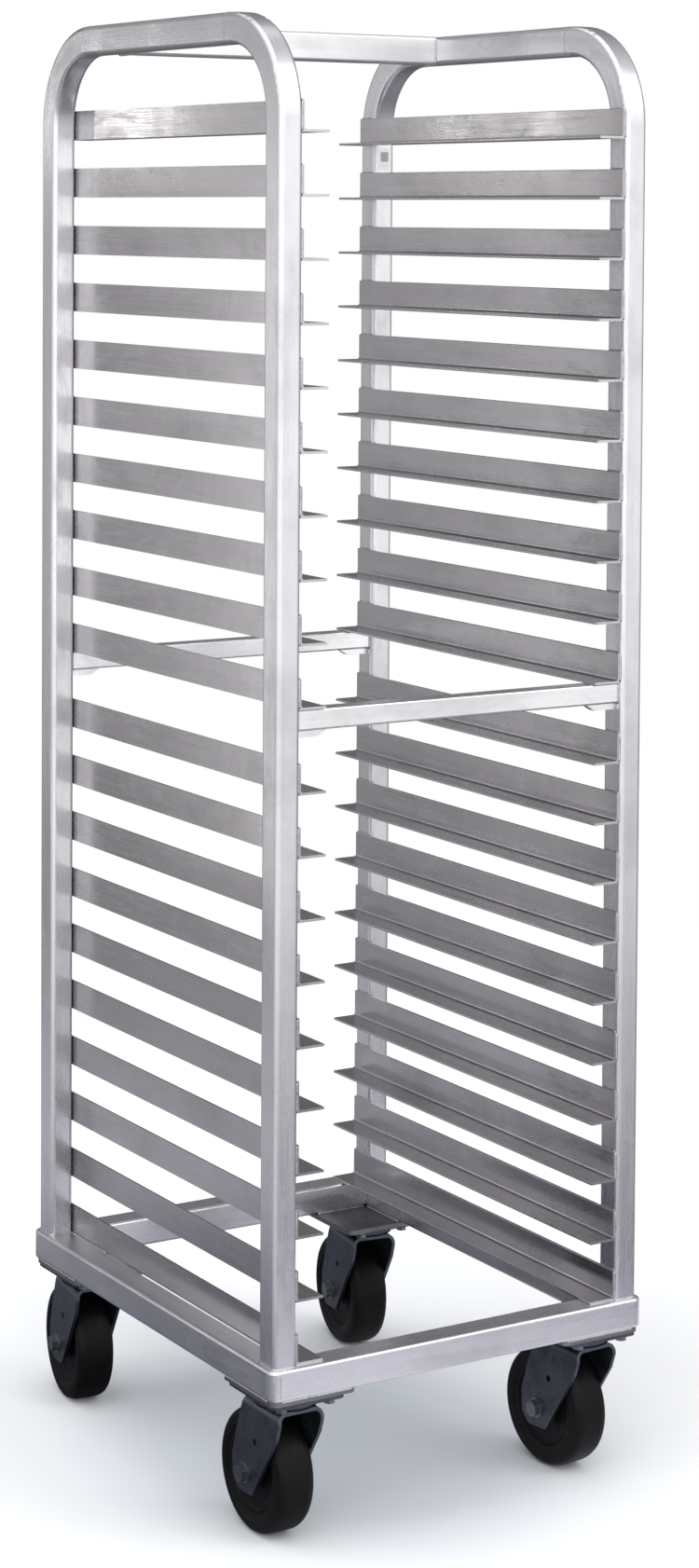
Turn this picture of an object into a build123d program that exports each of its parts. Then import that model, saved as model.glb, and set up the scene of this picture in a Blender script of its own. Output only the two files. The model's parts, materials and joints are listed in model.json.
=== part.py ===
from build123d import *
import math
import os

os.makedirs("parts", exist_ok=True)

# ---------------------------------------------------------------------------
# Sheet pan rack, open front, end load, twenty levels.  Millimetres.
# X runs left to right seen from the open front, Y from the front to the rear,
# Z up from the floor.
# ---------------------------------------------------------------------------

# overall
RACK_W = 533.4            # outside of the posts, left to right
RACK_D = 635.0            # outside of the posts, front to rear
RACK_H = 1854.2           # floor to the top of the side frames

# side frame tube, bent in one piece
TUBE_X = 31.75
TUBE_P = 38.1             # depth of the tube in the plane of the frame
TUBE_WALL = 2.0
TUBE_R = 6.0              # outside corner radius of the tube
BEND_OUT = 127.0          # outside radius of the two top bends

# base frame
BASE_W = 546.1
BASE_D = 647.7
BASE_SEC = 38.1
BASE_WALL = 2.6
BASE_R = 4.0              # along the tube's edges
BASE_CORNER_R = 12.0      # the four outer corners of the base, in plan
BASE_Z0 = 196.85
BASE_Z1 = BASE_Z0 + BASE_SEC
WEEP_D = 6.4              # drain holes in the underside of the base rails

# pan runners, angles with the flange against the posts
LEVELS = 20
PITCH = 76.2
MID_PITCH = 101.6         # larger step between the tenth and eleventh level
RUN_T = 3.2
RUN_FLANGE = 38.1
RUN_LEDGE = 38.1
RUN_LEN = RACK_D - 6.4
RUN_IN_R = 3.0
RUN_EDGE_R = 1.0

# cross braces
MID_SEC = 25.4
MID_WALL = 2.0
MID_R = 2.5
TOPB_Y = 31.75            # thickness of the top brace, front to rear
TOPB_AT = 140.0           # its middle, behind the middle of the rack
TOPB_H = 38.1             # flush with the top and underside of the rails
TOPB_WALL = 2.0
TOPB_R = 4.0
GUS_LONG = 46.0           # gusset clips under the ends of the mid braces
GUS_SHORT = 32.0
GUS_H = 8.5
GUS_T = 12.7

# corner plates and casters
PLATE_T = 6.35
CP_X0, CP_X1 = 152.0, 270.0
CP_Y0, CP_Y1 = 196.0, 320.5
CAST_X = 217.0            # swivel axis from the middle, left to right
CAST_Y = 262.0            # swivel axis from the middle, front to rear
CAST_LEAD = 45.0          # axle behind the swivel axis
REAR_YAW = -8.0          # resting turn of the two rear casters, degrees
FRONT_RIGHT_YAW = 4.0     # resting turn of the front right caster, degrees
TOPP_X, TOPP_Y, TOPP_T = 101.6, 114.3, 4.76
BOLT_SX, BOLT_SY = 66.7, 92.1
BOLT_D = 7.94
TAP_D = 8.1
BOLT_HOLE = 8.6
WHEEL_D = 152.4
WHEEL_W = 50.0
AXLE_D = 12.7
SLEEVE_D = 19.0
BORE_D = 19.1
FORK_IN = 27.5            # half the clear width between the fork legs
FORK_T = 4.5
CROWN_Z1 = 172.5
KING_D = 12.0

# derived
HX = RACK_W / 2
HY = RACK_D / 2
IN_X = HX - TUBE_X        # inner faces of the posts
POST_Y = HY - TUBE_P / 2
PLATE_Z1 = BASE_Z0
PLATE_Z0 = PLATE_Z1 - PLATE_T
TOPP_Z1 = PLATE_Z0
TOPP_Z0 = TOPP_Z1 - TOPP_T
AXLE_Z = WHEEL_D / 2


def level_z(n):
    """Underside of the ledge of level n, level 1 at the top."""
    low = BASE_Z1
    steps = LEVELS - n
    z = low + steps * PITCH
    if n <= LEVELS // 2:
        z += MID_PITCH - PITCH
    return z


def rounded_rect(w, h, r):
    return RectangleRounded(w, h, r)


def rect_tube(length, w, h, r, wall):
    """Tube along local Z, open at both ends, centred on the origin."""
    outer = extrude(rounded_rect(w, h, r), length / 2, both=True)
    inner = extrude(rounded_rect(w - 2 * wall, h - 2 * wall,
                                 max(r - wall, 0.6)), length / 2 + 1, both=True)
    return outer - inner


def tube_x(length, w, h, r, wall):
    """The same tube along X: w across Y, h along Z."""
    return Rot(0, 90, 0) * rect_tube(length, h, w, r, wall)


def tube_y(length, w, h, r, wall):
    """The same tube along Y: w across X, h along Z."""
    return Rot(90, 0, 0) * rect_tube(length, w, h, r, wall)


# ---------------------------------------------------------------------------
# side frames: one inverted U of tube each
# ---------------------------------------------------------------------------
def side_frame(sign):
    z0 = BASE_Z1
    z1 = RACK_H - TUBE_P / 2
    pts = [(-POST_Y, z0), (-POST_Y, z1), (POST_Y, z1), (POST_Y, z0)]
    x = sign * (HX - TUBE_X / 2)
    plane = Plane(origin=(x, 0, 0), x_dir=(0, 1, 0), z_dir=(1, 0, 0))
    with BuildLine(plane) as bl:
        FilletPolyline(*pts, radius=BEND_OUT - TUBE_P / 2)
    path = bl.line
    start = Plane(origin=(x, -POST_Y, z0), x_dir=(1, 0, 0), z_dir=(0, 0, 1))
    outer = sweep(start * rounded_rect(TUBE_X, TUBE_P, TUBE_R), path=path)
    inner = sweep(start * rounded_rect(TUBE_X - 2 * TUBE_WALL,
                                       TUBE_P - 2 * TUBE_WALL,
                                       TUBE_R - TUBE_WALL), path=path)
    frame = outer - inner
    # drain hole low on the inner face of each post
    for y in (-POST_Y, POST_Y):
        hole = Pos(x - sign * TUBE_X / 2, y, z0 + 75.0) * \
            Rot(0, 90, 0) * Cylinder(3.2, 8.0)
        frame -= hole
    return frame


# ---------------------------------------------------------------------------
# base frame: four tubes mitred at the corners
# ---------------------------------------------------------------------------
def base_ring():
    """The whole base as one hollow ring, before it is parted at the mitres."""
    t = BASE_WALL
    body = extrude(Pos(0, 0, BASE_Z0) *
                   rounded_rect(BASE_W, BASE_D, BASE_CORNER_R), BASE_SEC)
    body -= extrude(Pos(0, 0, BASE_Z0 - 1) *
                    Rectangle(BASE_W - 2 * BASE_SEC, BASE_D - 2 * BASE_SEC),
                    BASE_SEC + 2)
    rims = (body.edges().filter_by_position(Axis.Z, BASE_Z0 - 0.01,
                                            BASE_Z0 + 0.01) +
            body.edges().filter_by_position(Axis.Z, BASE_Z1 - 0.01,
                                            BASE_Z1 + 0.01))
    body = fillet(rims, BASE_R)
    void = extrude(Pos(0, 0, BASE_Z0 + t) *
                   rounded_rect(BASE_W - 2 * t, BASE_D - 2 * t,
                                BASE_CORNER_R - t), BASE_SEC - 2 * t)
    void -= extrude(Pos(0, 0, BASE_Z0) *
                    Rectangle(BASE_W - 2 * (BASE_SEC - t),
                              BASE_D - 2 * (BASE_SEC - t)), BASE_SEC)
    rims = (void.edges().filter_by_position(Axis.Z, BASE_Z0 + t - 0.01,
                                            BASE_Z0 + t + 0.01) +
            void.edges().filter_by_position(Axis.Z, BASE_Z1 - t - 0.01,
                                            BASE_Z1 - t + 0.01))
    void = fillet(rims, BASE_R - t)
    return body - void


def mitre_tool(half_long):
    """Trapezium prism between the two mitre planes: outside on -Y."""
    s, e, i = BASE_SEC, 20.0, 5.0
    pts = [(-half_long - e, -e), (half_long + e, -e),
           (half_long - s - i, s + i), (-(half_long - s - i), s + i)]
    return extrude(make_face(Polyline(*pts, close=True)), 80)


def base_rail_front(ring):
    rail = ring & (Pos(0, -BASE_D / 2, BASE_Z0 - 20) * mitre_tool(BASE_W / 2))
    for x in (-90.0, 90.0):
        rail -= Pos(x, -BASE_D / 2 + BASE_SEC / 2, BASE_Z0) * \
            Cylinder(WEEP_D / 2, 10)
    return rail


def base_rail_left(ring):
    rail = ring & (Pos(-BASE_W / 2, 0, BASE_Z0 - 20) * Rot(0, 0, -90) *
                   mitre_tool(BASE_D / 2))
    for y in (-90.0, 90.0):
        rail -= Pos(-BASE_W / 2 + BASE_SEC / 2, y, BASE_Z0) * \
            Cylinder(WEEP_D / 2, 10)
    return rail


# ---------------------------------------------------------------------------
# runners
# ---------------------------------------------------------------------------
def runner_left(z):
    x0 = -IN_X
    pts = [(x0, z), (x0 + RUN_LEDGE, z), (x0 + RUN_LEDGE, z + RUN_T),
           (x0 + RUN_T, z + RUN_T), (x0 + RUN_T, z + RUN_FLANGE),
           (x0, z + RUN_FLANGE)]
    plane = Plane(origin=(0, RUN_LEN / 2, 0), x_dir=(1, 0, 0), z_dir=(0, -1, 0))
    sk = plane * make_face(Polyline(*pts, close=True))
    body = extrude(sk, RUN_LEN)
    inner = body.edges().filter_by(Axis.Y).sort_by(
        lambda e: (e.center().X - (x0 + RUN_T)) ** 2 +
                  (e.center().Z - (z + RUN_T)) ** 2)[0]
    body = fillet(inner, RUN_IN_R)

    def near(px, pz):
        return body.edges().filter_by(Axis.Y).sort_by(
            lambda e: (e.center().X - px) ** 2 + (e.center().Z - pz) ** 2)[0]

    body = fillet([near(x0 + RUN_LEDGE, z), near(x0 + RUN_LEDGE, z + RUN_T),
                   near(x0 + RUN_T, z + RUN_FLANGE)], RUN_EDGE_R)
    # softened corner at each end of the ledge
    corner = body.edges().filter_by(Axis.Z).sort_by(
        lambda e: -e.center().X)[0:2]
    try:
        body = fillet(corner, 5.0)
    except Exception:
        pass
    return body


def pair(left):
    return Compound(children=[left, mirror(left, about=Plane.YZ)])


# ---------------------------------------------------------------------------
# caster pieces, drawn round the swivel axis at X0 Y0, trailing to +Y
# ---------------------------------------------------------------------------
def bolt_points():
    return [(sx * BOLT_SX / 2, sy * BOLT_SY / 2)
            for sx in (-1, 1) for sy in (-1, 1)]


def top_plate():
    p = extrude(Pos(0, 0, TOPP_Z0) * rounded_rect(TOPP_X, TOPP_Y, 9.0), TOPP_T)
    for x, y in bolt_points():
        slot = Pos(x, y, TOPP_Z0 - 2) * Rot(
            0, 0, math.degrees(math.atan2(y, x)) - 0) * SlotOverall(
                15.0, BOLT_HOLE)
        p -= extrude(slot, TOPP_T + 4)
    # pressed upper race under the plate
    prof = Polyline((24.0, TOPP_Z0 + 1.5), (24.0, 180.6), (30.2, 180.6),
                    (33.6, 177.0), (33.6, 174.6), (37.4, 174.6), (37.4, 178.0),
                    (42.0, TOPP_Z0), (42.0, TOPP_Z0 + 1.5), close=True)
    ring = revolve(Plane.XZ * make_face(prof), axis=Axis.Z)
    p += ring
    p -= Pos(0, 0, TOPP_Z0) * Cylinder(KING_D / 2, 30)
    return p


def kingpin():
    k = Pos(0, 0, (TOPP_Z1 + 158.5) / 2) * Cylinder(KING_D / 2,
                                                    TOPP_Z1 - 158.5)
    collar = Pos(0, 0, (TOPP_Z0 + 174.2) / 2) * Cylinder(
        11.0, TOPP_Z0 - 174.2)
    washer = Pos(0, 0, 166.2) * Cylinder(13.5, 2.0)
    nut = extrude(Pos(0, 0, 158.8) * RegularPolygon(10.4, 6,
                                                    major_radius=True), 6.4)
    k = k + collar + washer + nut
    return k


def fork():
    ho = FORK_IN + FORK_T
    # section across the fork: inverted U
    sec = make_face(Polyline((-ho, 40), (ho, 40), (ho, CROWN_Z1),
                             (-ho, CROWN_Z1), close=True))
    outer = extrude(Plane.XZ * sec, 120, both=True)
    top = outer.edges().filter_by(Axis.Y).group_by(Axis.Z)[-1]
    outer = fillet(top, 12.0)
    sec2 = make_face(Polyline((-FORK_IN, 30), (FORK_IN, 30),
                              (FORK_IN, CROWN_Z1 - FORK_T),
                              (-FORK_IN, CROWN_Z1 - FORK_T), close=True))
    inner = extrude(Plane.XZ * sec2, 125, both=True)
    top = inner.edges().filter_by(Axis.Y).group_by(Axis.Z)[-1]
    inner = fillet(top, 7.5)
    shell = outer - inner
    # side silhouette of the legs
    L = CAST_LEAD
    pts = [(-34.0, CROWN_Z1 + 1), (-37.0, 158.0), (-30.0, 138.0),
           (L - 30.0, 70.0), (L - 19.0, 52.5), (L + 16.0, 51.0),
           (L + 29.0, 64.0), (L + 31.0, 92.0), (L + 15.0, 140.0),
           (L + 2.0, CROWN_Z1 + 1)]
    sil = make_face(Polyline(*pts, close=True))
    sil = fillet(sil.vertices().sort_by(Axis.Y)[0:8], 9.0)
    side = extrude(Plane.YZ * sil, 60, both=True)
    shell = shell & side
    # raised lower race on the crown
    prof = Polyline((14.0, CROWN_Z1 - 1.0), (33.0, CROWN_Z1 - 1.0),
                    (32.2, CROWN_Z1 + 3.6), (29.6, CROWN_Z1 + 6.2),
                    (25.0, CROWN_Z1 + 6.2), (22.4, CROWN_Z1 + 3.4),
                    (14.0, CROWN_Z1 + 1.0), close=True)
    race = revolve(Plane.XZ * make_face(prof), axis=Axis.Z)
    shell += race
    shell -= Pos(0, 0, CROWN_Z1) * Cylinder(KING_D / 2 + 0.06, 30)
    # axle holes and the round hole half way up each leg
    shell -= Pos(0, L, AXLE_Z) * Rot(0, 90, 0) * Cylinder(
        AXLE_D / 2 + 0.05, 100)
    shell -= Pos(0, 21.0, 121.0) * Rot(0, 90, 0) * Cylinder(4.2, 100)
    return shell


def hexagon(af, h):
    return extrude(RegularPolygon(af / 2, 6, major_radius=False), h)


def axle_set():
    """Bolt with its sleeve, washers and nut; axis along X, through (0,0)."""
    ho = FORK_IN + FORK_T
    r = Rot(0, 90, 0)
    bolt = r * (Pos(0, 0, (ho + 13 - ho) / 2) *
                Cylinder(AXLE_D / 2, 2 * ho + 13))
    head = r * (Pos(0, 0, -ho - 9.4) * hexagon(19.05, 8.0))
    head = head & (r * (Pos(0, 0, -ho - 6) * Cylinder(10.55, 14)))
    wash1 = r * (Pos(0, 0, -ho - 0.7) * Cylinder(13.0, 1.4))
    bolt = bolt + head + wash1
    wash2 = r * (Pos(0, 0, ho + 0.7) * Cylinder(13.0, 1.4))
    nut = r * (Pos(0, 0, ho + 1.4) * hexagon(19.05, 8.6))
    collar = r * (Pos(0, 0, ho + 1.4 + 8.6 + 1.1) * Cylinder(8.6, 2.2))
    nut = (wash2 + nut + collar) - r * Cylinder(AXLE_D / 2, 300)
    sleeve = r * Cylinder(SLEEVE_D / 2, 2 * FORK_IN)
    sleeve -= r * Cylinder(AXLE_D / 2, 2 * FORK_IN + 10)
    return Compound(children=[bolt, nut, sleeve])


def tyre():
    R = WHEEL_D / 2
    h = WHEEL_W / 2
    # half section, x along the axle, y as the radius
    with BuildSketch(Plane.XY) as sk:
        with BuildLine():
            Polyline((-22.5, 54.0), (22.5, 54.0), (h - 1.2, 57.5), (h, 60.0),
                     (h, R - 9.5))
            b = Bezier((h, R - 9.5), (h, R - 2.4), (h - 6.5, R - 0.9),
                       (h - 11.0, R - 0.25))
            c = ThreePointArc((h - 11.0, R - 0.25), (0, R),
                              (-(h - 11.0), R - 0.25))
            d = Bezier((-(h - 11.0), R - 0.25), (-(h - 6.5), R - 0.9),
                       (-h, R - 2.4), (-h, R - 9.5))
            Polyline((-h, R - 9.5), (-h, 60.0), (-(h - 1.2), 57.5),
                     (-22.5, 54.0))
        make_face()
    return revolve(sk.sketch, axis=Axis.X)


def hub():
    pts = [(-26.3, BORE_D / 2), (26.3, BORE_D / 2), (26.3, 15.5), (25.3, 17.0),
           (20.0, 19.5), (18.0, 23.0), (17.2, 30.0), (17.2, 40.0),
           (18.0, 45.5), (20.0, 49.0), (22.5, 50.5), (22.5, 54.0),
           (-22.5, 54.0), (-22.5, 50.5), (-20.0, 49.0), (-18.0, 45.5),
           (-17.2, 40.0), (-17.2, 30.0), (-18.0, 23.0), (-20.0, 19.5),
           (-25.3, 17.0), (-26.3, 15.5)]
    return revolve(make_face(Polyline(*pts, close=True)), axis=Axis.X)


def place(shape, x, y, yaw, local=(0, 0, 0)):
    return Pos(x, y, 0) * Rot(0, 0, yaw) * Pos(*local) * shape


# ---------------------------------------------------------------------------
# assembly
# ---------------------------------------------------------------------------
nodes = {}
nodes["left_side_frame"] = side_frame(-1)
nodes["right_side_frame"] = side_frame(1)

ring = base_ring()
front = base_rail_front(ring)
left = base_rail_left(ring)
nodes["base_front_rail"] = front
nodes["base_rear_rail"] = mirror(front, about=Plane.XZ)
nodes["base_left_rail"] = left
nodes["base_right_rail"] = mirror(left, about=Plane.YZ)

nodes["top_brace"] = Pos(0, TOPB_AT, RACK_H - TOPB_H / 2) * tube_x(
    2 * IN_X, TOPB_Y, TOPB_H, TOPB_R, TOPB_WALL)
mid_z = level_z(LEVELS // 2) - MID_SEC / 2
nodes["front_mid_brace"] = Pos(0, -POST_Y, mid_z) * tube_x(
    2 * IN_X, MID_SEC, MID_SEC, MID_R, MID_WALL)
nodes["rear_mid_brace"] = Pos(0, POST_Y, mid_z) * tube_x(
    2 * IN_X, MID_SEC, MID_SEC, MID_R, MID_WALL)

gussets = []
for sx in (-1, 1):
    for sy in (-1, 1):
        top_z = mid_z - MID_SEC / 2
        outline = Polyline((sx * IN_X, top_z), (sx * (IN_X - GUS_LONG), top_z),
                           (sx * (IN_X - GUS_SHORT), top_z - GUS_H),
                           (sx * IN_X, top_z - GUS_H), close=True)
        sheet = extrude(Plane.XZ * make_face(outline), GUS_T / 2, both=True)
        gussets.append(Pos(0, sy * POST_Y, 0) * sheet)
nodes["brace_gussets"] = Compound(children=gussets)

for n in range(1, LEVELS + 1):
    nodes["runner_pair_%02d" % n] = pair(runner_left(level_z(n)))

CASTERS = {
    "front_left": (-CAST_X, -CAST_Y, 0.0),
    "front_right": (CAST_X, -CAST_Y, FRONT_RIGHT_YAW),
    "rear_left": (-CAST_X, CAST_Y, REAR_YAW),
    "rear_right": (CAST_X, CAST_Y, REAR_YAW),
}

cp = extrude(Pos((CP_X0 + CP_X1) / 2, (CP_Y0 + CP_Y1) / 2, PLATE_Z0) *
             rounded_rect(CP_X1 - CP_X0, CP_Y1 - CP_Y0, 10.0), PLATE_T)
for x, y in bolt_points():
    cp -= Pos(CAST_X + x, CAST_Y + y, PLATE_Z0) * Cylinder(TAP_D / 2, 30)

plate_shape = top_plate()
king_shape = kingpin()
fork_shape = fork()
axle_shape = axle_set()
tyre_shape = tyre()
hub_shape = hub()

bolts = []
for name, (cx, cy, yaw) in CASTERS.items():
    plate = cp
    if cx < 0:
        plate = mirror(plate, about=Plane.YZ)
    if cy < 0:
        plate = mirror(plate, about=Plane.XZ)
    nodes["corner_plate_" + name] = plate
    nodes["top_plate_" + name] = place(plate_shape, cx, cy, 0)
    nodes["kingpin_" + name] = place(king_shape, cx, cy, 0)
    nodes["fork_" + name] = place(fork_shape, cx, cy, yaw)
    at = (0, CAST_LEAD, AXLE_Z)
    nodes["axle_" + name] = place(axle_shape, cx, cy, yaw, at)
    nodes["tyre_" + name] = place(tyre_shape, cx, cy, yaw, at)
    nodes["hub_" + name] = place(hub_shape, cx, cy, yaw, at)
    for x, y in bolt_points():
        shank = Pos(x, y, (PLATE_Z1 - 0.4 + TOPP_Z0) / 2) * Cylinder(
            BOLT_D / 2, PLATE_Z1 - 0.4 - TOPP_Z0)
        wash = Pos(x, y, TOPP_Z0 - 0.6) * Cylinder(8.6, 1.2)
        head = Pos(x, y, TOPP_Z0 - 6.2) * hexagon(12.7, 5.0)
        bolts.append(Pos(cx, cy, 0) * (shank + wash + head))
nodes["caster_bolts"] = Compound(children=bolts)

# origin: floor point under the middle of the whole rack, trailing wheels
# included
lo = min(s.bounding_box().min.Y for s in nodes.values())
hi = max(s.bounding_box().max.Y for s in nodes.values())
SHIFT_Y = -(lo + hi) / 2
print("shift_y %.4f" % SHIFT_Y)

for name, shape in nodes.items():
    shape = Pos(0, SHIFT_Y, 0) * shape
    export_step(shape, "parts/%s.step" % name)
    bb = shape.bounding_box()
    print("%-26s %2d solids  %8.2f %8.2f %8.2f  %8.2f %8.2f %8.2f" % (
        name, len(shape.solids()), bb.min.X, bb.min.Y, bb.min.Z,
        bb.max.X, bb.max.Y, bb.max.Z))
print(len(nodes), "nodes")
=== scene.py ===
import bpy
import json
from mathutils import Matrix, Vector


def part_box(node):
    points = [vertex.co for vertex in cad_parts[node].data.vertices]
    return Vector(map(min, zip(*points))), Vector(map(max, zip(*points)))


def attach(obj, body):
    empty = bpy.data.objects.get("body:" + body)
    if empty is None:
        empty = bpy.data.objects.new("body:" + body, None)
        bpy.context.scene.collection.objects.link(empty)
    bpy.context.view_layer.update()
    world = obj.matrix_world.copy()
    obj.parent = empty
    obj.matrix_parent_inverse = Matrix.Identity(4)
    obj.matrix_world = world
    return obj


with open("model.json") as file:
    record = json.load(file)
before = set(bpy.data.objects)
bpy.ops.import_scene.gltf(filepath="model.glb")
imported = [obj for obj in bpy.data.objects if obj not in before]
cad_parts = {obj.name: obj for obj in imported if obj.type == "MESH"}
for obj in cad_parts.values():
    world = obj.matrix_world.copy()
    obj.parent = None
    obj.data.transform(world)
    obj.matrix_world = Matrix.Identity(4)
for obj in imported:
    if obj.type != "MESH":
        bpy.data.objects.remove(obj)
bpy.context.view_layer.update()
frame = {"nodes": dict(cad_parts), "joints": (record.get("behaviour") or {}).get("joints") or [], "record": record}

import json
import math
import random

import bmesh
import bpy
from mathutils import Matrix, Quaternion, Vector

rng = random.Random(7)
scene = bpy.context.scene
record = frame["record"]
NODES = frame["nodes"]
CORNERS = ("front_left", "front_right", "rear_left", "rear_right")

# ---------------------------------------------------------------------------
# places, all read from the frame
# ---------------------------------------------------------------------------
lf_lo, lf_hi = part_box("left_side_frame")
rf_lo, rf_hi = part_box("right_side_frame")
Y_MID = (lf_lo.y + lf_hi.y) / 2
TUBE_X = lf_hi.x - lf_lo.x
IN_X = rf_lo.x
OUT_X = rf_hi.x
TOP_Z = lf_hi.z
BASE_LO, BASE_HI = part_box("base_front_rail")
SIDE_LO, SIDE_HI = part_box("base_left_rail")
JOINTS = {j["name"]: j for j in frame["joints"]}

# ---------------------------------------------------------------------------
# camera
# ---------------------------------------------------------------------------
CAM_YAW, CAM_PITCH, CAM_ROLL = 31.416, 2.279, 0.352
CAM_POS = Vector((-2.1924, -3.65864, 1.6103))
CAM_F_PX = 3499.1
CAM_SHIFT_PX = 471.0
W_PX, H_PX = 750.0, 1682.0


def make_camera():
    a, p, r = (math.radians(v) for v in (CAM_YAW, CAM_PITCH, CAM_ROLL))
    fwd = Vector((math.sin(a) * math.cos(p), math.cos(a) * math.cos(p),
                  -math.sin(p)))
    right = Vector((math.cos(a), -math.sin(a), 0.0))
    up = right.cross(fwd)
    right2 = right * math.cos(r) + up * math.sin(r)
    up2 = up * math.cos(r) - right * math.sin(r)
    m = Matrix((right2, up2, -fwd)).transposed().to_4x4()
    cam_data = bpy.data.cameras.new("camera")
    cam_data.sensor_width = 36.0
    cam_data.sensor_fit = "AUTO"
    cam_data.lens = CAM_F_PX / H_PX * 36.0
    cam_data.shift_y = -CAM_SHIFT_PX / H_PX
    cam_data.dof.use_dof = False
    cam_data.clip_start = 0.05
    cam_data.clip_end = 200.0
    cam = bpy.data.objects.new("camera", cam_data)
    scene.collection.objects.link(cam)
    m.translation = CAM_POS
    cam.matrix_world = m
    scene.camera = cam


make_camera()
scene.view_settings.view_transform = "Standard"
scene.view_settings.look = "None"

# ---------------------------------------------------------------------------
# small node helper
# ---------------------------------------------------------------------------
class Tree:
    def __init__(self, name):
        self.mat = bpy.data.materials.new(name)
        self.mat.use_nodes = True
        self.nt = self.mat.node_tree
        self.nt.nodes.clear()
        self.out = self.nt.nodes.new("ShaderNodeOutputMaterial")
        self.bsdf = self.nt.nodes.new("ShaderNodeBsdfPrincipled")
        self.nt.links.new(self.bsdf.outputs[0], self.out.inputs["Surface"])
        self.co = self.nt.nodes.new("ShaderNodeTexCoord")

    def link(self, a, b):
        self.nt.links.new(a, b)

    def put(self, sock, value):
        if hasattr(value, "is_output"):
            self.link(value, sock)
        else:
            sock.default_value = value

    def math(self, op, a, b=0.0, c=None, clamp=False):
        n = self.nt.nodes.new("ShaderNodeMath")
        n.operation = op
        n.use_clamp = clamp
        self.put(n.inputs[0], a)
        self.put(n.inputs[1], b)
        if c is not None:
            self.put(n.inputs[2], c)
        return n.outputs[0]

    def xyz(self, vec=None):
        n = self.nt.nodes.new("ShaderNodeSeparateXYZ")
        self.link(vec or self.co.outputs["Object"], n.inputs[0])
        return n.outputs[0], n.outputs[1], n.outputs[2]

    def vec(self, x, y, z):
        n = self.nt.nodes.new("ShaderNodeCombineXYZ")
        self.put(n.inputs[0], x)
        self.put(n.inputs[1], y)
        self.put(n.inputs[2], z)
        return n.outputs[0]

    def mapping(self, vec, scale):
        n = self.nt.nodes.new("ShaderNodeMapping")
        self.link(vec, n.inputs["Vector"])
        n.inputs["Scale"].default_value = scale
        return n.outputs[0]

    def noise(self, vec, scale, detail=4.0, rough=0.55, lac=2.0, dist=0.0):
        n = self.nt.nodes.new("ShaderNodeTexNoise")
        self.link(vec, n.inputs["Vector"])
        n.inputs["Scale"].default_value = scale
        n.inputs["Detail"].default_value = detail
        n.inputs["Roughness"].default_value = rough
        n.inputs["Lacunarity"].default_value = lac
        n.inputs["Distortion"].default_value = dist
        return n.outputs[0]

    def voronoi(self, vec, scale, feature="F1", out="Distance"):
        n = self.nt.nodes.new("ShaderNodeTexVoronoi")
        n.feature = feature
        self.link(vec, n.inputs["Vector"])
        n.inputs["Scale"].default_value = scale
        return n.outputs[out]

    def ramp(self, fac, stops):
        n = self.nt.nodes.new("ShaderNodeValToRGB")
        els = n.color_ramp.elements
        while len(els) < len(stops):
            els.new(0.5)
        for e, (p, c) in zip(els, stops):
            e.position = p
            e.color = (c[0], c[1], c[2], 1.0)
        self.link(fac, n.inputs[0])
        return n.outputs[0]

    def remap(self, v, a, b, c, d):
        n = self.nt.nodes.new("ShaderNodeMapRange")
        self.link(v, n.inputs[0])
        for i, x in zip((1, 2, 3, 4), (a, b, c, d)):
            self.put(n.inputs[i], x)
        return n.outputs[0]

    def mix(self, fac, a, b, mode="MIX"):
        n = self.nt.nodes.new("ShaderNodeMix")
        n.data_type = "RGBA"
        n.blend_type = mode
        self.put(n.inputs[0], fac)
        for sock, v in ((n.inputs[6], a), (n.inputs[7], b)):
            if hasattr(v, "is_output"):
                self.link(v, sock)
            else:
                sock.default_value = (v[0], v[1], v[2], 1.0)
        return n.outputs[2]

    def bump(self, height, strength, distance, normal=None):
        n = self.nt.nodes.new("ShaderNodeBump")
        n.inputs["Strength"].default_value = strength
        n.inputs["Distance"].default_value = distance
        self.link(height, n.inputs["Height"])
        if normal is not None:
            self.link(normal, n.inputs["Normal"])
        return n.outputs[0]

    def set(self, **kw):
        names = {"color": "Base Color", "metal": "Metallic", "rough": "Roughness",
                 "normal": "Normal", "spec": "Specular IOR Level",
                 "coat": "Coat Weight", "coat_rough": "Coat Roughness",
                 "ior": "IOR", "aniso": "Anisotropic"}
        for k, v in kw.items():
            s = self.bsdf.inputs[names[k]]
            if hasattr(v, "is_output"):
                self.link(v, s)
            elif k == "color":
                s.default_value = (v[0], v[1], v[2], 1.0)
            else:
                s.default_value = v


# ---------------------------------------------------------------------------
# materials
# ---------------------------------------------------------------------------
def grain_coords(t, kind):
    """(across A, across B, along): coordinates that follow the stock."""
    x, y, z = t.xyz()
    if kind == "x":
        return y, z, x
    if kind == "y":
        return x, z, y
    # bent side frame: distance across and along the tube round both bends
    half = TUBE_P / 2
    yb = (lf_hi.y - lf_lo.y) / 2 - BEND
    zb = TOP_Z - BEND
    rc = BEND - half
    dy = t.math("SUBTRACT", y, Y_MID)
    ay = t.math("ABSOLUTE", dy)
    u = t.math("MAXIMUM", t.math("SUBTRACT", ay, yb), 0.0)
    v = t.math("MAXIMUM", t.math("SUBTRACT", z, zb), 0.0)
    rad = t.math("SQRT", t.math("ADD", t.math("MULTIPLY", u, u),
                                t.math("MULTIPLY", v, v)))
    across = t.math("SUBTRACT", rad, rc)
    ang = t.math("ARCTAN2", v, t.math("MAXIMUM", u, 1e-5))
    low = t.math("MINIMUM", z, zb)
    inn = t.math("SUBTRACT", yb, t.math("MINIMUM", ay, yb))
    along = t.math("ADD", t.math("ADD", low, inn),
                   t.math("MULTIPLY", ang, rc))
    return x, across, along


TUBE_P = 0.0381
BEND = 0.127


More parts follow.
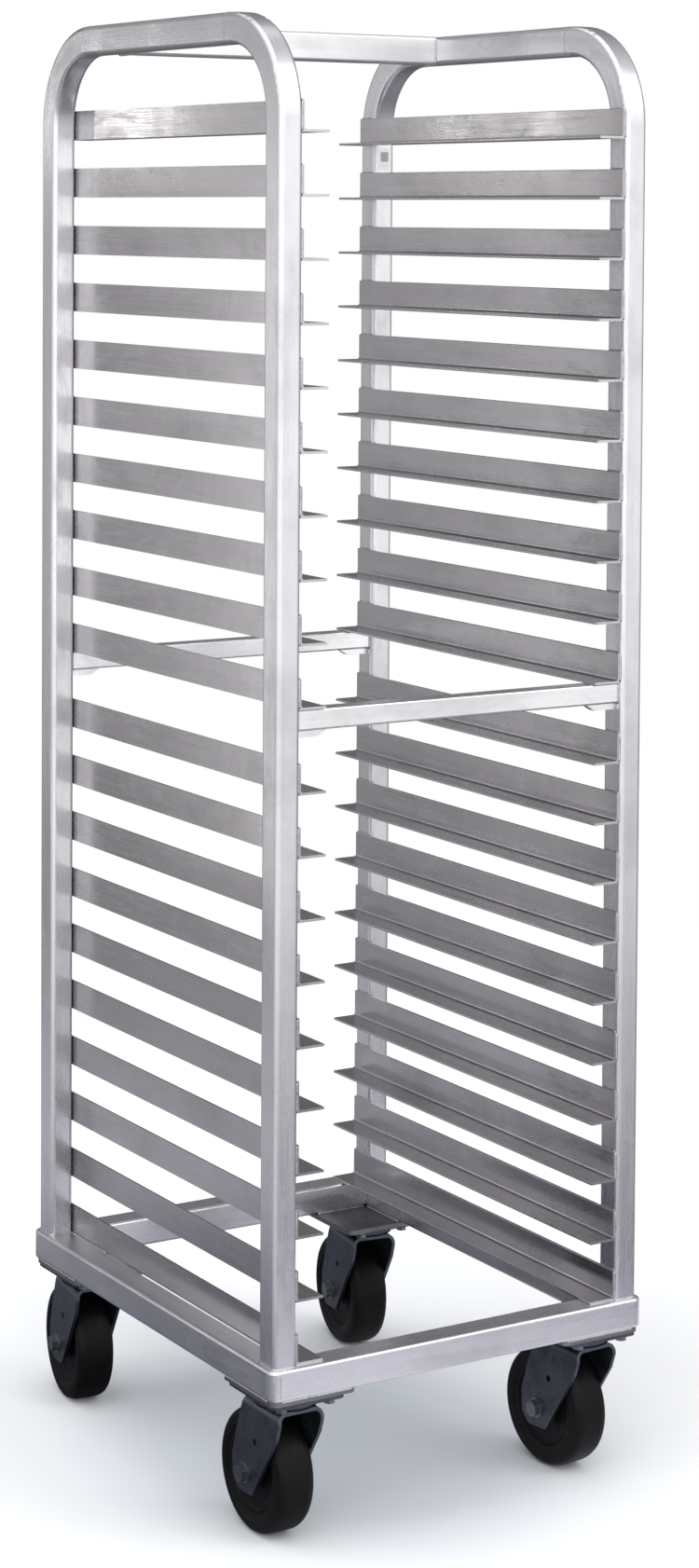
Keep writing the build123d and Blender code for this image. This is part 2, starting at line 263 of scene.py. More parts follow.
def aluminium(name, kind, tint=(0.625, 0.618, 0.636), rough=0.25, seed=0.0,
              contrast=1.0):
    t = Tree(name)
    a, b, s = grain_coords(t, kind)
    base = t.vec(t.math("ADD", a, seed), t.math("ADD", b, seed * 0.37),
                 t.math("ADD", s, seed * 1.3))
    fine = t.noise(t.mapping(base, (1.0, 1.0, 0.012)), 900.0, 3.0, 0.7)
    lines = t.noise(t.mapping(base, (1.0, 1.0, 0.004)), 260.0, 2.0, 0.5)
    bands = t.noise(t.mapping(base, (1.0, 1.0, 0.06)), 42.0, 2.0, 0.5)
    cloud = t.noise(base, 5.5, 5.0, 0.6, dist=0.4)
    smear = t.noise(t.mapping(base, (1.0, 1.0, 0.35)), 23.0, 6.0, 0.7, dist=1.2)
    nick = t.voronoi(t.mapping(base, (1.0, 1.0, 0.18)), 120.0)
    dark = tuple(c * (1.0 - 0.22 * contrast) for c in tint)
    lite = tuple(min(1.0, c * 1.07) for c in tint)
    col = t.ramp(cloud, [(0.28, dark), (0.52, tint), (0.80, lite)])
    col = t.mix(t.remap(bands, 0.42, 0.66, 0.0, 0.35), col,
                tuple(min(1.0, c * 1.16) for c in tint))
    col = t.mix(t.remap(smear, 0.55, 0.80, 0.0, 0.32 * contrast), col,
                (tint[0] * 0.62, tint[1] * 0.62, tint[2] * 0.66))
    col = t.mix(t.remap(nick, 0.0, 0.035, 0.5, 0.0), col,
                tuple(c * 0.5 for c in tint))
    r = t.math("ADD", rough, t.remap(fine, 0.3, 0.7, -0.05, 0.07))
    r = t.math("ADD", r, t.remap(cloud, 0.3, 0.7, 0.06, -0.05))
    r = t.math("ADD", r, t.remap(smear, 0.5, 0.8, 0.0, 0.14), clamp=True)
    h = t.math("ADD", t.math("MULTIPLY", fine, 0.6),
               t.math("MULTIPLY", lines, 0.9))
    n = t.bump(h, 0.13, 0.00014)
    n = t.bump(cloud, 0.16, 0.0022, n)
    t.set(color=col, metal=1.0, rough=r, normal=n)
    return t.mat


# the default tint is very dark: painted shade for the forks in the shadow of the top plates
def zinc(name, tint=(0.068, 0.078, 0.092), rough=0.36):
    t = Tree(name)
    o = t.co.outputs["Object"]
    spangle = t.voronoi(o, 210.0, out="Color")
    sep = t.xyz(spangle)[0]
    cloud = t.noise(o, 34.0, 5.0, 0.6, dist=0.5)
    fine = t.noise(o, 900.0, 3.0, 0.7)
    grime = t.noise(o, 70.0, 7.0, 0.72, dist=1.0)
    col = t.ramp(cloud, [(0.25, tuple(c * 0.66 for c in tint)), (0.5, tint),
                         (0.78, tuple(min(1, c * 1.35) for c in tint))])
    col = t.mix(t.remap(sep, 0.0, 1.0, 0.0, 0.22), col,
                tuple(min(1, c * 1.7) for c in tint))
    col = t.mix(t.remap(grime, 0.56, 0.78, 0.0, 0.55), col,
                tuple(c * 0.35 for c in tint))
    r = t.math("ADD", rough, t.remap(cloud, 0.3, 0.7, -0.07, 0.09))
    r = t.math("ADD", r, t.remap(grime, 0.5, 0.8, 0.0, 0.2), clamp=True)
    n = t.bump(fine, 0.25, 0.00014)
    n = t.bump(cloud, 0.25, 0.0009, n)
    t.set(color=col, metal=0.92, rough=r, normal=n)
    return t.mat


def rubber(name):
    t = Tree(name)
    o = t.co.outputs["Object"]
    cloud = t.noise(o, 24.0, 5.0, 0.6, dist=0.6)
    fine = t.noise(o, 620.0, 4.0, 0.7)
    scuff = t.noise(t.mapping(o, (1.0, 0.25, 0.25)), 95.0, 6.0, 0.75, dist=1.4)
    col = t.ramp(cloud, [(0.3, (0.0022, 0.0022, 0.0024)),
                         (0.55, (0.0036, 0.0036, 0.0040)),
                         (0.8, (0.0060, 0.0060, 0.0066))])
    dust = t.remap(scuff, 0.58, 0.80, 0.0, 0.35)
    col = t.mix(dust, col, (0.016, 0.0155, 0.0155))
    r = t.math("ADD", 0.40, t.remap(cloud, 0.3, 0.7, -0.04, 0.10))
    r = t.math("ADD", r, t.remap(scuff, 0.5, 0.8, 0.0, 0.20), clamp=True)
    n = t.bump(fine, 0.30, 0.00012)
    n = t.bump(cloud, 0.20, 0.0008, n)
    t.set(color=col, metal=0.0, rough=r, normal=n, spec=0.12)
    return t.mat


def plastic(name):
    t = Tree(name)
    o = t.co.outputs["Object"]
    cloud = t.noise(o, 40.0, 4.0, 0.6)
    fine = t.noise(o, 1400.0, 2.0, 0.6)
    col = t.ramp(cloud, [(0.3, (0.0026, 0.0026, 0.0030)),
                         (0.7, (0.0055, 0.0055, 0.0062))])
    r = t.math("ADD", 0.42, t.remap(cloud, 0.3, 0.7, -0.04, 0.10))
    t.set(color=col, metal=0.0, rough=r, normal=t.bump(fine, 0.3, 0.00010),
          spec=0.12)
    return t.mat


def bead_metal(name, tone=1.0):
    t = Tree(name)
    o = t.co.outputs["Object"]
    cloud = t.noise(o, 160.0, 4.0, 0.6)
    fine = t.noise(o, 1600.0, 3.0, 0.7)
    col = t.ramp(cloud, [(p, tuple(v * tone for v in c)) for p, c in
                         ((0.28, (0.34, 0.34, 0.35)), (0.6, (0.53, 0.53, 0.54)),
                          (0.85, (0.66, 0.655, 0.67)))])
    r = t.math("ADD", 0.34, t.remap(cloud, 0.3, 0.7, -0.10, 0.12))
    t.set(color=col, metal=1.0, rough=r, normal=t.bump(fine, 0.35, 0.00012))
    return t.mat


MAT = {
    "frame_l": aluminium("tube_bent_left", "u", seed=0.0),
    "frame_r": aluminium("tube_bent_right", "u", seed=3.1),
    # painted light and shade: the front and rear base rails get a lighter tint and the side rails a darker tint of
    # the same aluminium, standing in for how the light falls on them
    "rail_x": aluminium("tube_along_x_painted_light", "x", seed=1.7,
                        tint=(0.68, 0.672, 0.695)),
    "rail_y": aluminium("tube_along_y_painted_shade", "y", seed=5.9, rough=0.30,
                        tint=(0.56, 0.558, 0.585)),
    # painted light: the braces get a lighter tint of the same aluminium so that they read as brightly lit
    "brace": aluminium("brace_tube_painted_light", "x", seed=8.2, rough=0.24,
                       tint=(0.74, 0.735, 0.75)),
    # painted shade: the corner plates get a very dark tint of the aluminium, standing in for the shadow under the
    # base
    "plate": aluminium("corner_plate_painted_shade", "y", tint=(0.20, 0.20, 0.205),
                       rough=0.40, seed=2.4, contrast=1.5),
    # painted shade: the zinc of the forks and top plates is tinted very dark, standing in for the shadow under the
    # top plates
    "zinc": zinc("zinc_plate_painted_shade"),
    "zinc_dark": zinc("zinc_race", tint=(0.055, 0.060, 0.068), rough=0.42),
    "bolt": zinc("bolt_zinc", tint=(0.15, 0.16, 0.175), rough=0.30),
    "tyre": rubber("tyre_rubber"),
    "hub": plastic("hub_plastic"),
    "bead": bead_metal("weld_metal"),
    "seam": bead_metal("dressed_seam", 0.55),
    "seal": plastic("seal_plastic"),
}
# painted shade: the runners get a darker tint of the same aluminium than the frame tubes, standing in for the
# shade inside the rack; the small step from runner to runner is random tone
RUNNER = [aluminium("runner_painted_shade_%d" % i, "y", seed=11.3 + 4.7 * i,
                    tint=(0.455 + 0.010 * (i % 3), 0.446 + 0.010 * (i % 3),
                          0.456 + 0.010 * (i % 3)),
                    rough=0.185 + 0.010 * (i % 4)) for i in range(4)]


def material_for(node):
    if node.startswith("runner_pair_"):
        return RUNNER[int(node[-2:]) % 4]
    if node == "left_side_frame":
        return MAT["frame_l"]
    if node == "right_side_frame":
        return MAT["frame_r"]
    if node in ("base_front_rail", "base_rear_rail"):
        return MAT["rail_x"]
    if node in ("base_left_rail", "base_right_rail"):
        return MAT["rail_y"]
    if node.endswith("_brace") or node == "brace_gussets":
        return MAT["brace"]
    if node.startswith("corner_plate"):
        return MAT["plate"]
    if node.startswith("top_plate") or node.startswith("fork"):
        return MAT["zinc"]
    if node.startswith("kingpin"):
        return MAT["zinc_dark"]
    if node.startswith("axle") or node == "caster_bolts":
        return MAT["bolt"]
    if node.startswith("tyre"):
        return MAT["tyre"]
    return MAT["hub"]


for name, obj in NODES.items():
    mat = material_for(name)
    obj.data.materials.clear()
    obj.data.materials.append(mat)
    for p in obj.data.polygons:
        p.material_index = 0

# ---------------------------------------------------------------------------
# added pieces: mesh helpers
# ---------------------------------------------------------------------------
def finish_piece(name, bm, mat, body):
    bmesh.ops.recalc_face_normals(bm, faces=bm.faces)
    me = bpy.data.meshes.new(name)
    bm.to_mesh(me)
    bm.free()
    for p in me.polygons:
        p.use_smooth = True
    me.materials.append(mat)
    o = bpy.data.objects.new(name, me)
    scene.collection.objects.link(o)
    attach(o, body)
    return o


def resample(pts, closed, step):
    pts = [Vector(p) for p in pts]
    if closed:
        pts.append(pts[0].copy())
    run = [0.0]
    for a, b in zip(pts, pts[1:]):
        run.append(run[-1] + (b - a).length)
    total = run[-1]
    n = max(4, int(round(total / step)))
    out, k = [], 0
    for i in range(n if closed else n + 1):
        d = total * i / n
        while k < len(run) - 2 and run[k + 1] < d:
            k += 1
        f = (d - run[k]) / max(1e-9, run[k + 1] - run[k])
        out.append((pts[k].lerp(pts[k + 1], min(1.0, f)), d))
    return out, total


def weld(bm, pts, r, closed=False, ripple=0.17, pitch=0.0025, seg=8):
    """A rippled bead along a path, tapered where the path ends."""
    path, total = resample(pts, closed, pitch / 2.6)
    n = len(path)
    phase = rng.uniform(0, 6.28)
    up = None
    rings = []
    for i, (p, d) in enumerate(path):
        if closed:
            t = path[(i + 1) % n][0] - path[i - 1][0]
        else:
            t = path[min(n - 1, i + 1)][0] - path[max(0, i - 1)][0]
        t.normalize()
        if up is None:
            up = t.orthogonal()
        up = (up - t * up.dot(t)).normalized()
        side = t.cross(up)
        rr = r * (1.0 + ripple * math.cos(2 * math.pi * d / pitch + phase) +
                  rng.uniform(-0.05, 0.05))
        if not closed:
            e = min(d, total - d) / (1.5 * r)
            if e < 1.0:
                rr *= max(0.22, math.sqrt(max(0.0, 1 - (1 - e) ** 2)))
        rings.append([bm.verts.new(p + (up * math.cos(2 * math.pi * k / seg) +
                                        side * math.sin(2 * math.pi * k / seg))
                                   * rr) for k in range(seg)])
    m = len(rings)
    for i in range(m if closed else m - 1):
        a, b = rings[i], rings[(i + 1) % m]
        shift = 0
        if closed and i == m - 1:
            # the frame may have turned on its way round
            best = None
            for sft in range(seg):
                dist = sum((a[k].co - b[(k + sft) % seg].co).length
                           for k in range(seg))
                if best is None or dist < best[0]:
                    best = (dist, sft)
            shift = best[1]
        for k in range(seg):
            bm.faces.new((a[k], a[(k + 1) % seg],
                          b[(k + 1 + shift) % seg], b[(k + shift) % seg]))
    if not closed:
        for ring, (p, d) in ((rings[0], path[0]), (rings[-1], path[-1])):
            c = bm.verts.new(p)
            for k in range(seg):
                bm.faces.new((c, ring[k], ring[(k + 1) % seg]))


def loop(plane, centre, w, h, r, n=5):
    """Rounded rectangle path in the xy, xz or yz plane."""
    out = []
    for cx, cy, a0 in ((w / 2 - r, h / 2 - r, 0), (-w / 2 + r, h / 2 - r, 90),
                       (-w / 2 + r, -h / 2 + r, 180),
                       (w / 2 - r, -h / 2 + r, 270)):
        for k in range(n + 1):
            a = math.radians(a0 + 90.0 * k / n)
            out.append((cx + r * math.cos(a), cy + r * math.sin(a)))
    c = Vector(centre)
    if plane == "xy":
        return [c + Vector((u, v, 0)) for u, v in out]
    if plane == "xz":
        return [c + Vector((u, 0, v)) for u, v in out]
    return [c + Vector((0, u, v)) for u, v in out]


def lathe(bm, prof, m, seg=72):
    """Closed ring: prof is a closed outline of (radius, along the axis)."""
    n = len(prof)
    rows = []
    for k in range(seg):
        a = 2 * math.pi * k / seg
        rows.append([bm.verts.new(m @ Vector((r * math.cos(a),
                                              r * math.sin(a), h)))
                     for r, h in prof])
    for k in range(seg):
        a, b = rows[k], rows[(k + 1) % seg]
        for i in range(n):
            bm.faces.new((a[i], a[(i + 1) % n], b[(i + 1) % n], b[i]))


def torus_prof(rad, h, r, n=8):
    return [(rad + r * math.cos(2 * math.pi * k / n),
             h + r * math.sin(2 * math.pi * k / n)) for k in range(n)]


# ---------------------------------------------------------------------------
# weld beads, all on the frame body
# ---------------------------------------------------------------------------
POST_P = TUBE_P
POSTS_Y = (lf_lo.y + POST_P / 2, lf_hi.y - POST_P / 2)
FOOT_Z = lf_lo.z

bm = bmesh.new()
for sx in (-1, 1):
    for py in POSTS_Y:
        weld(bm, loop("xy", (sx * (IN_X + TUBE_X / 2), py, FOOT_Z + 0.0003),
                      TUBE_X + 0.0006, POST_P + 0.0006, 0.0064),
             0.0015, closed=True)
finish_piece("post_foot_welds", bm, MAT["bead"], "frame")

for sx, side in ((-1, "left"), (1, "right")):
    bm = bmesh.new()
    for i in range(1, 21):
        lo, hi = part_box("runner_pair_%02d" % i)
        x = sx * (IN_X - 0.0005)
        inner = ((lo.y + 0.0010, lf_lo.y + POST_P - 0.0050),
                 (lf_hi.y - POST_P + 0.0050, hi.y - 0.0010))
        for y0, y1 in inner:
            weld(bm, [(x, y0, hi.z + 0.0003), (x, y1, hi.z + 0.0003)],
                 0.0013, seg=7)
        for y in (lo.y - 0.0001, hi.y + 0.0001):
            weld(bm, [(sx * (IN_X - 0.0002), y, lo.z + 0.0015),
                      (sx * (IN_X - 0.0002), y, hi.z - 0.0010)],
                 0.0014, seg=7)
    finish_piece("runner_welds_" + side, bm, MAT["bead"], "frame")

bm = bmesh.new()
lo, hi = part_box("top_brace")
for sx in (-1, 1):
    weld(bm, loop("yz", (sx * (IN_X - 0.0002), (lo.y + hi.y) / 2,
                         (lo.z + hi.z) / 2 - 0.0007),
                  hi.y - lo.y + 0.0004, hi.z - lo.z - 0.0012, 0.0042),
         0.0015, closed=True)
for node in ("front_mid_brace", "rear_mid_brace"):
    lo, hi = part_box(node)
    for sx in (-1, 1):
        weld(bm, loop("yz", (sx * (IN_X - 0.0003), (lo.y + hi.y) / 2,
                             (lo.z + hi.z) / 2), hi.y - lo.y + 0.0006,
                      hi.z - lo.z + 0.0006, 0.0028), 0.0014, closed=True)
glo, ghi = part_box("brace_gussets")
GUS_T = 0.0127
for sx in (-1, 1):
    for py in POSTS_Y:
        for sy in (-1, 1):
            y = py + sy * (GUS_T / 2 + 0.0002)
            weld(bm, [(sx * (IN_X - 0.0003), y, glo.z + 0.0006),
                      (sx * (IN_X - 0.0003), y, ghi.z - 0.0006)], 0.0011)
            weld(bm, [(sx * (IN_X - 0.0030), y, ghi.z),
                      (sx * (IN_X - 0.0435), y, ghi.z)], 0.0009)
finish_piece("brace_welds", bm, MAT["bead"], "frame")

bm = bmesh.new()
RING_X = IN_X
b_lo, b_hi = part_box("base_rear_rail")
RING_Y0, RING_Y1 = BASE_HI.y, b_lo.y
OUT_Y0, OUT_Y1 = BASE_LO.y, b_hi.y
HALF_W = -SIDE_LO.x
for sx in (-1, 1):
    for y_in, y_out in ((RING_Y0, OUT_Y0), (RING_Y1, OUT_Y1)):
        sy = 1 if y_out > y_in else -1
        weld(bm, [(sx * (RING_X - 0.0004), y_in - sy * 0.0004,
                   BASE_LO.z + 0.0050),
                  (sx * (RING_X - 0.0004), y_in - sy * 0.0004,
                   BASE_HI.z - 0.0050)], 0.0018)
        # dressed seams either side of the rounded corner
        weld(bm, [(sx * (HALF_W - 0.0122), y_out - sy * 0.0004,
                   BASE_LO.z + 0.0045),
                  (sx * (HALF_W - 0.0122), y_out - sy * 0.0004,
                   BASE_HI.z - 0.0045)], 0.00075, ripple=0.05)
        weld(bm, [(sx * (HALF_W - 0.0004), y_out - sy * 0.0122,
                   BASE_LO.z + 0.0045),
                  (sx * (HALF_W - 0.0004), y_out - sy * 0.0122,
                   BASE_HI.z - 0.0045)], 0.00075, ripple=0.05)
for c in CORNERS:
    lo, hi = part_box("corner_plate_" + c)
    sx = 1 if hi.x > 0 else -1
    sy = 1 if (lo.y + hi.y) / 2 > Y_MID else -1
    x_out = hi.x if sx > 0 else lo.x
    x_in = lo.x if sx > 0 else hi.x
    y_out = hi.y if sy > 0 else lo.y
    y_in = lo.y if sy > 0 else hi.y
    z = BASE_LO.z
    weld(bm, [(x_in + sx * 0.006, y_out + sy * 0.0001, z - 0.0006),
              (x_out - sx * 0.012, y_out + sy * 0.0001, z - 0.0006)], 0.0014)
    weld(bm, [(x_out + sx * 0.0001, y_in + sy * 0.008, z - 0.0006),
              (x_out + sx * 0.0001, y_out - sy * 0.012, z - 0.0006)], 0.0014)
    ry = RING_Y1 if sy > 0 else RING_Y0
    weld(bm, [(x_in + sx * 0.003, ry - sy * 0.0002, z + 0.0006),
              (sx * (RING_X - 0.003), ry - sy * 0.0002, z + 0.0006)], 0.0019)
    weld(bm, [(sx * (RING_X - 0.0002), y_in + sy * 0.003, z + 0.0006),
              (sx * (RING_X - 0.0002), ry - sy * 0.003, z + 0.0006)], 0.0019)
finish_piece("base_welds", bm, MAT["bead"], "frame")

# dressed seam in each top rail, just behind the front bend
bm = bmesh.new()
for sx in (-1, 1):
    weld(bm, loop("xz", (sx * (IN_X + TUBE_X / 2), lf_lo.y + BEND + 0.010,
                         TOP_Z - POST_P / 2), TUBE_X - 0.0002,
                  POST_P - 0.0002, 0.0059, n=7),
         0.00045, closed=True, ripple=0.04, seg=6)
finish_piece("bend_seams", bm, MAT["seam"], "frame")

# blank sticker on the front face of the right rear post, below the top ledge
def sticker_paper(name, xc, zc):
    t = Tree(name)
    x, y, z = t.xyz()
    u = t.math("ABSOLUTE", t.math("SUBTRACT", x, xc - 0.0005))
    v = t.math("ABSOLUTE", t.math("SUBTRACT", z, zc + 0.0030))
    box = t.math("MULTIPLY", t.math("LESS_THAN", u, 0.0062),
                 t.math("LESS_THAN", v, 0.0068))
    line = t.math("MULTIPLY", t.math("LESS_THAN", u, 0.0062), t.math(
        "LESS_THAN", t.math("ABSOLUTE", t.math("SUBTRACT", z, zc - 0.0090)),
        0.00045))
    cloud = t.noise(t.co.outputs["Object"], 90.0, 5.0, 0.6)
    fine = t.noise(t.co.outputs["Object"], 1400.0, 3.0, 0.6)
    col = t.ramp(cloud, [(0.3, (0.80, 0.79, 0.78)), (0.7, (0.88, 0.87, 0.86))])
    grey = t.ramp(fine, [(0.3, (0.28, 0.28, 0.28)), (0.7, (0.40, 0.40, 0.41))])
    col = t.mix(t.math("MAXIMUM", box, t.math("MULTIPLY", line, 0.35)),
                col, grey)
    t.set(color=col, metal=0.0, rough=t.remap(cloud, 0.3, 0.7, 0.36, 0.48),
          normal=t.bump(fine, 0.08, 0.0001), spec=0.4)
    return t.mat


r1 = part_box("runner_pair_01")[0].z
r2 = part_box("runner_pair_02")[1].z
st_x, st_z = IN_X + TUBE_X / 2, (r1 + r2) / 2 + 0.0003
bm = bmesh.new()
edge = loop("xz", (st_x, lf_hi.y - POST_P - 0.00030, st_z), 0.0205, 0.0310,
            0.0016, n=4)
near = [bm.verts.new(p) for p in edge]
rear = [bm.verts.new(p + Vector((0, 0.0005, 0))) for p in edge]
bm.faces.new(near)
bm.faces.new(rear[::-1])
for i in range(len(near)):
    j = (i + 1) % len(near)
    bm.faces.new((near[i], near[j], rear[j], rear[i]))
tag = finish_piece("blank_sticker", bm, sticker_paper("sticker_paper", st_x,
                                                      st_z), "frame")
for p in tag.data.polygons:
    p.use_smooth = False

# ---------------------------------------------------------------------------
# caster details
# ---------------------------------------------------------------------------
for c in CORNERS:
    sw = JOINTS["swivel_" + c]
    ro = JOINTS["roll_" + c]
    pivot = Vector(sw["pos_m"])
    axle = Vector(ro["pos_m"])
    ax = Vector(ro["axis"]).normalized()
    crown = pivot.z
    bm = bmesh.new()
    lathe(bm, [(0.0343, 0.0002), (0.0380, 0.0002), (0.0386, 0.0007),
               (0.0386, 0.0013), (0.0381, 0.0018), (0.0352, 0.0018),
               (0.0343, 0.0012)],
          Matrix.Translation((pivot.x, pivot.y, crown)))
    finish_piece("race_seal_" + c, bm, MAT["seal"], "fork_" + c)

    fwd = Vector((-ax.y, ax.x, 0.0))
    rot = Matrix((fwd, Vector((0, 0, 1)), ax)).transposed().to_4x4()
    rot.translation = axle
    bm = bmesh.new()
    for s_ in (-1, 1):
        lathe(bm, torus_prof(0.0652, s_ * 0.02490, 0.00070), rot, seg=120)
        lathe(bm, torus_prof(0.0578, s_ * 0.02390, 0.00055), rot, seg=120)
    finish_piece("tyre_rings_" + c, bm, MAT["tyre"], "wheel_" + c)
    bm = bmesh.new()
    for s_ in (-1, 1):
        lathe(bm, [(0.0101, s_ * 0.0260), (0.0101, s_ * 0.0268),
                   (0.0108, s_ * 0.0270), (0.0126, s_ * 0.0267),
                   (0.0144, s_ * 0.0270), (0.0150, s_ * 0.0266),
                   (0.0150, s_ * 0.0260)], rot, seg=72)
    finish_piece("bearing_caps_" + c, bm, MAT["zinc_dark"], "wheel_" + c)
    bm = bmesh.new()
    for s_ in (-1, 1):
        lathe(bm, torus_prof(0.0480, s_ * 0.0196, 0.0009), rot, seg=96)
        lathe(bm, torus_prof(0.0350, s_ * 0.0171, 0.0006), rot, seg=96)
    finish_piece("hub_rings_" + c, bm, MAT["hub"], "wheel_" + c)

# ---------------------------------------------------------------------------
# stage and light
# ---------------------------------------------------------------------------
def make_floor():
    """Pale round floor that fades out into the white surround."""
    bm = bmesh.new()
    rings, seg, rad = 24, 96, 3.6
    centre = bm.verts.new((0, Y_MID, 0))
    prev = None
    for i in range(1, rings + 1):
        r = rad * i / rings
        ring = [bm.verts.new((r * math.cos(2 * math.pi * k / seg),
                              Y_MID + r * math.sin(2 * math.pi * k / seg), 0))
                for k in range(seg)]
        for k in range(seg):
            a, b = ring[k], ring[(k + 1) % seg]
            if prev is None:
                bm.faces.new((centre, a, b))
            else:
                bm.faces.new((prev[k], a, b, prev[(k + 1) % seg]))
        prev = ring
    me = bpy.data.meshes.new("floor")
    bm.to_mesh(me)
    bm.free()
    o = bpy.data.objects.new("floor", me)
    scene.collection.objects.link(o)
    t = Tree("floor_paint")
    c = t.co.outputs["Object"]
    n = t.noise(c, 1.1, 3.0, 0.5)
    x, y, z = t.xyz()
    dy = t.math("SUBTRACT", y, Y_MID)
    d = t.math("SQRT", t.math("ADD", t.math("MULTIPLY", x, x),
                              t.math("MULTIPLY", dy, dy)))
    col = t.ramp(n, [(0.3, (0.965, 0.978, 0.988)), (0.7, (0.980, 0.988, 0.996))])
    # painted shadow: the floor colour is darkened under and around the rack, where its shadow falls
    ex = t.math("MULTIPLY", x, 1.0 / 0.30)
    ey = t.math("MULTIPLY", dy, 1.0 / 0.36)
    under = t.math("SQRT", t.math("ADD", t.math("MULTIPLY", ex, ex),
                                  t.math("MULTIPLY", ey, ey)))
    painted_shadow = t.ramp(t.remap(under, 0.0, 2.4, 0.0, 1.0),
                   [(0.0, (0.68, 0.72, 0.75)), (0.30, (0.71, 0.745, 0.775)),
                    (0.50, (0.93, 0.945, 0.955)), (0.68, (1.0, 1.0, 1.0))])
    col = t.mix(1.0, col, painted_shadow, mode="MULTIPLY")
    t.set(color=col, rough=0.8, normal=t.bump(n, 0.02, 0.002), spec=0.0)
    # painted light and shade for reflections: the floor the metal mirrors is pale close in front, dimmer further
    # out, and dark close behind and to the left, where it stands in for the rack's shadow
    front = t.ramp(t.remap(d, 0.0, 2.0, 0.0, 1.0),
                   [(0.38, (0.76, 0.76, 0.82)), (0.47, (0.68, 0.68, 0.74)),
                    (0.56, (0.22, 0.22, 0.265)), (1.0, (0.19, 0.19, 0.23))])
    back = t.ramp(t.remap(d, 0.0, 2.0, 0.0, 1.0),
                  [(0.36, (0.17, 0.175, 0.205)), (0.52, (0.24, 0.245, 0.28)),
                   (0.72, (0.52, 0.52, 0.56)), (1.0, (0.56, 0.56, 0.60))])
    u = t.math("ADD", t.math("MULTIPLY", x, -0.86),
               t.math("MULTIPLY", dy, 0.50))
    painted_reflected_floor = t.mix(t.remap(u, -0.12, 0.22, 0.0, 1.0), front, back)
    dark = t.nt.nodes.new("ShaderNodeBsdfDiffuse")
    t.link(painted_reflected_floor, dark.inputs["Color"])
    lp = t.nt.nodes.new("ShaderNodeLightPath")
    mix = t.nt.nodes.new("ShaderNodeMixShader")
    t.link(lp.outputs["Is Camera Ray"], mix.inputs[0])
    t.link(dark.outputs[0], mix.inputs[1])
    t.link(t.bsdf.outputs[0], mix.inputs[2])
    clear = t.nt.nodes.new("ShaderNodeBsdfTransparent")
    fade = t.nt.nodes.new("ShaderNodeMixShader")
    t.link(t.remap(d, 1.25, 3.4, 0.0, 1.0), fade.inputs[0])
    t.link(mix.outputs[0], fade.inputs[1])
    t.link(clear.outputs[0], fade.inputs[2])
    t.link(fade.outputs[0], t.out.inputs["Surface"])
    o.data.materials.append(t.mat)


make_floor()


def area(name, pos, target, size, power, color=(1, 1, 1), size_y=None):
    d = bpy.data.lights.new(name, "AREA")
    d.shape = "RECTANGLE"
    d.size = size
    d.size_y = size_y or size
    d.energy = power
    d.color = color
    o = bpy.data.objects.new(name, d)
    scene.collection.objects.link(o)
    o.location = pos
    o.rotation_mode = "QUATERNION"
    o.rotation_quaternion = (Vector(target) - Vector(pos)).to_track_quat(
        "-Z", "Y")
    return o


area("key", (2.2, -3.6, 4.2), (0, 0, 0.6), 2.6, 46.0, (1.0, 0.985, 0.965))
area("top", (-0.6, 0.4, 4.8), (0, 0, 0), 4.0, 40.0, (0.98, 0.99, 1.0))
# upright soft boxes behind on the left, mirrored by the side faces
area("strip_high", (-1.39, 2.30, 1.84), (-0.25, 0.0, 1.68), 0.055, 0.40,
     (1.0, 0.975, 0.945), size_y=0.24)
area("panel_left", (-1.95, 2.15, 0.95), (-0.27, -0.3, 0.85), 0.60, 2.7,
     (1.0, 0.985, 0.975), size_y=1.5)


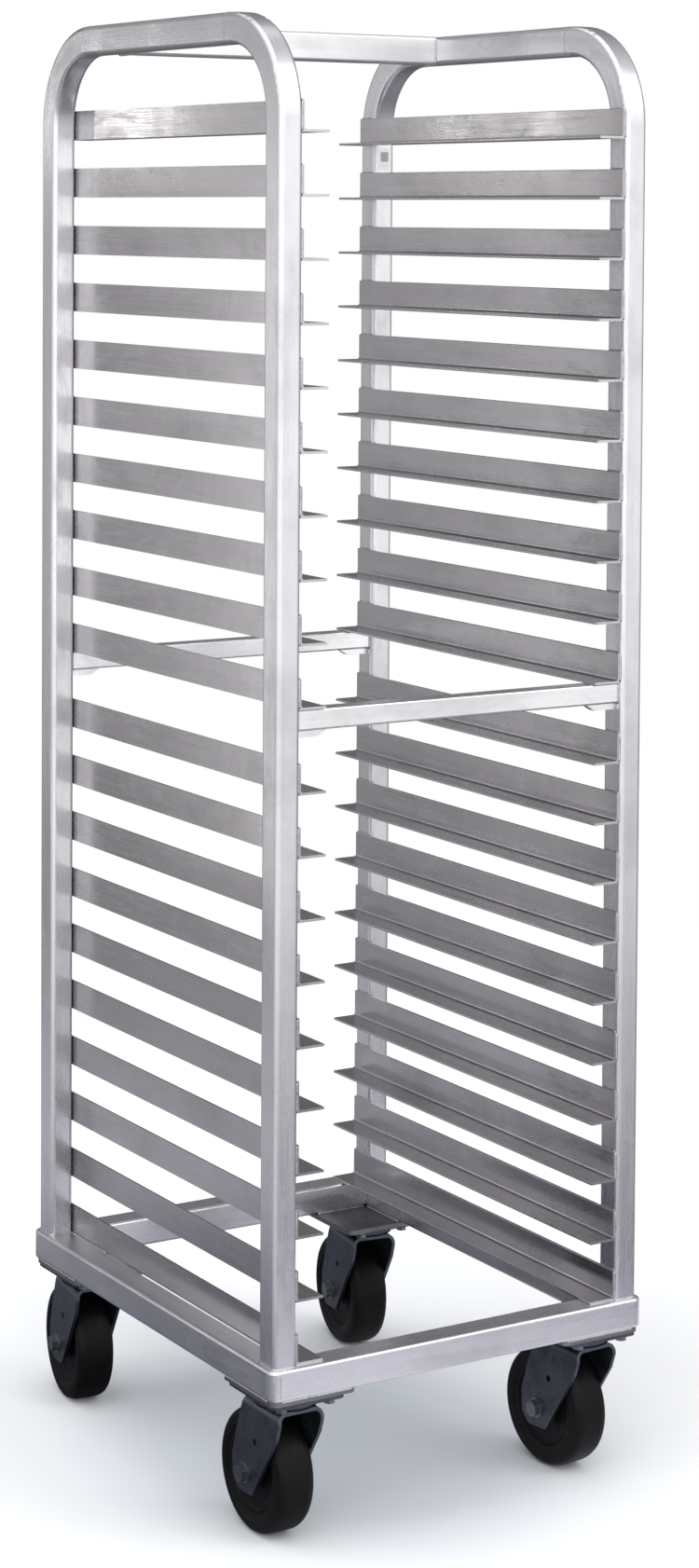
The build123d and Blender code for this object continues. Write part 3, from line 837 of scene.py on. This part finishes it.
def make_world():
    """White surround for the camera; for the metal a room that is bright in
    front, softer to the left and dim behind, and dimmer near the floor."""
    w = bpy.data.worlds.new("studio")
    scene.world = w
    w.use_nodes = True
    nt = w.node_tree
    nt.nodes.clear()
    out = nt.nodes.new("ShaderNodeOutputWorld")
    co = nt.nodes.new("ShaderNodeTexCoord")
    dot = nt.nodes.new("ShaderNodeVectorMath")
    dot.operation = "DOT_PRODUCT"
    dot.inputs[1].default_value = Vector((-0.50, -0.86, 0.06)).normalized()
    nt.links.new(co.outputs["Generated"], dot.inputs[0])
    rmp = nt.nodes.new("ShaderNodeValToRGB")
    mr = nt.nodes.new("ShaderNodeMapRange")
    mr.inputs[1].default_value = -1.0
    mr.inputs[2].default_value = 1.0
    nt.links.new(dot.outputs["Value"], mr.inputs[0])
    nt.links.new(mr.outputs[0], rmp.inputs[0])
    els = rmp.color_ramp.elements
    stops = [(0.0, (0.17, 0.17, 0.18)), (0.08, (0.24, 0.24, 0.25)),
             (0.17, (0.37, 0.365, 0.38)), (0.25, (0.49, 0.48, 0.50)),
             (0.48, (0.86, 0.86, 0.89)), (0.72, (1.44, 1.44, 1.45)),
             (0.86, (1.72, 1.72, 1.73)), (1.0, (1.82, 1.82, 1.82))]
    while len(els) < len(stops):
        els.new(0.5)
    for e, (p, c) in zip(els, stops):
        e.position = p
        e.color = (c[0], c[1], c[2], 1)
    sep = nt.nodes.new("ShaderNodeSeparateXYZ")
    nt.links.new(co.outputs["Generated"], sep.inputs[0])
    low = nt.nodes.new("ShaderNodeMapRange")
    nt.links.new(sep.outputs[2], low.inputs[0])
    for i, v in zip((1, 2, 3, 4), (-0.30, -0.11, 0.30, 1.0)):
        low.inputs[i].default_value = v
    # the dimming towards the floor is weaker on the left and behind
    gate = nt.nodes.new("ShaderNodeMapRange")
    nt.links.new(dot.outputs["Value"], gate.inputs[0])
    for i, v in zip((1, 2, 3, 4), (-0.45, 0.35, 0.62, 0.0)):
        gate.inputs[i].default_value = v
    power = nt.nodes.new("ShaderNodeMath")
    power.operation = "MAXIMUM"
    nt.links.new(low.outputs[0], power.inputs[0])
    nt.links.new(gate.outputs[0], power.inputs[1])
    soft = nt.nodes.new("ShaderNodeBackground")
    nt.links.new(rmp.outputs[0], soft.inputs["Color"])
    nt.links.new(power.outputs[0], soft.inputs["Strength"])
    white = nt.nodes.new("ShaderNodeBackground")
    white.inputs["Color"].default_value = (1, 1, 1, 1)
    white.inputs["Strength"].default_value = 1.0
    lp = nt.nodes.new("ShaderNodeLightPath")
    mix = nt.nodes.new("ShaderNodeMixShader")
    nt.links.new(lp.outputs["Is Camera Ray"], mix.inputs[0])
    nt.links.new(soft.outputs[0], mix.inputs[1])
    nt.links.new(white.outputs[0], mix.inputs[2])
    nt.links.new(mix.outputs[0], out.inputs["Surface"])


make_world()
